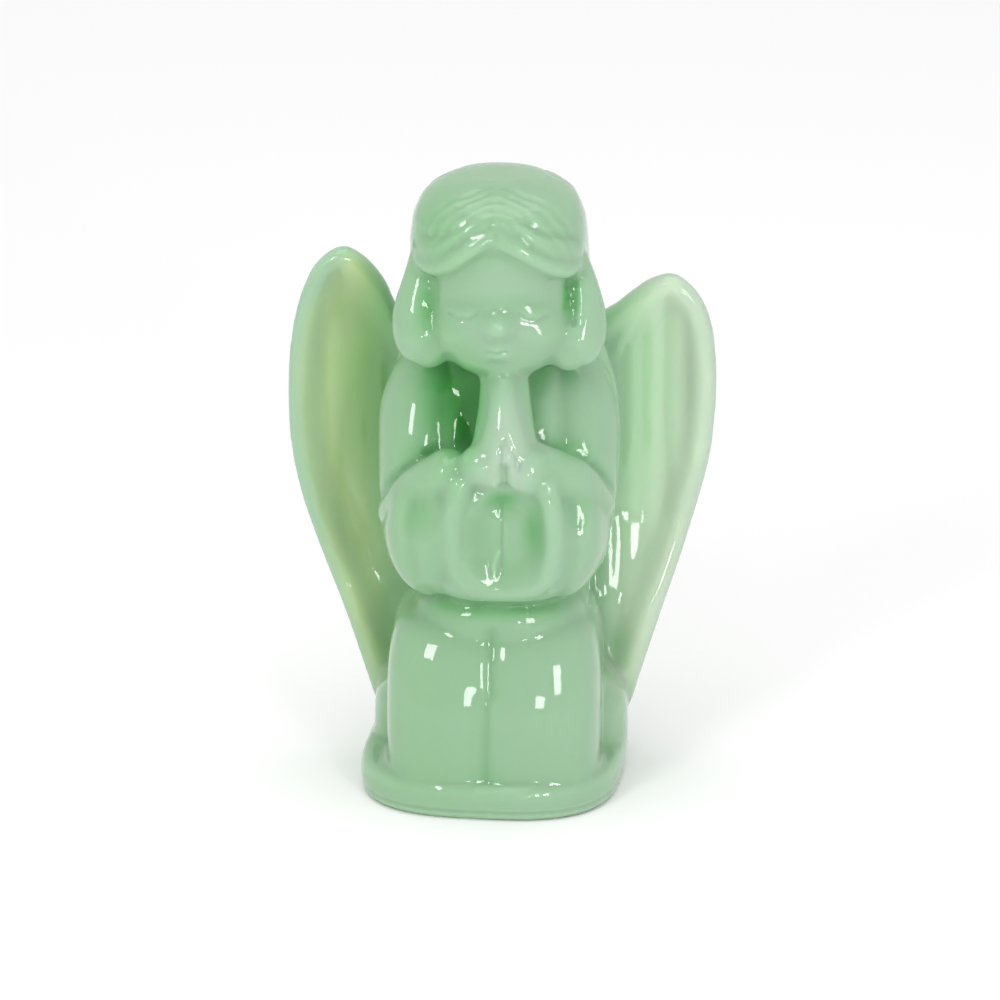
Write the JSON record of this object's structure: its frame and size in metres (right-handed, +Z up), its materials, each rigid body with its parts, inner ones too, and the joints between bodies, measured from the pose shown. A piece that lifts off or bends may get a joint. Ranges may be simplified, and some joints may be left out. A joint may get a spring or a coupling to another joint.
{
  "type": "glass praying angel figurine",
  "caption": "Small solid pressed-glass figurine of a kneeling angel with joined hands and raised wings, on a low rounded plinth.",
  "frame": {"origin": "centre of the underside of the plinth, on the ground", "axes": "the angel faces -Y, +Z is up, +X is to the viewer's right"},
  "size_m": [0.0706, 0.0439, 0.1043],
  "materials": {
    "jade_glass": "glossy milky jade-green opal glass"
  },
  "bodies": {
    "root": {"praying_angel": "jade_glass"}
  },
  "joints": []
}
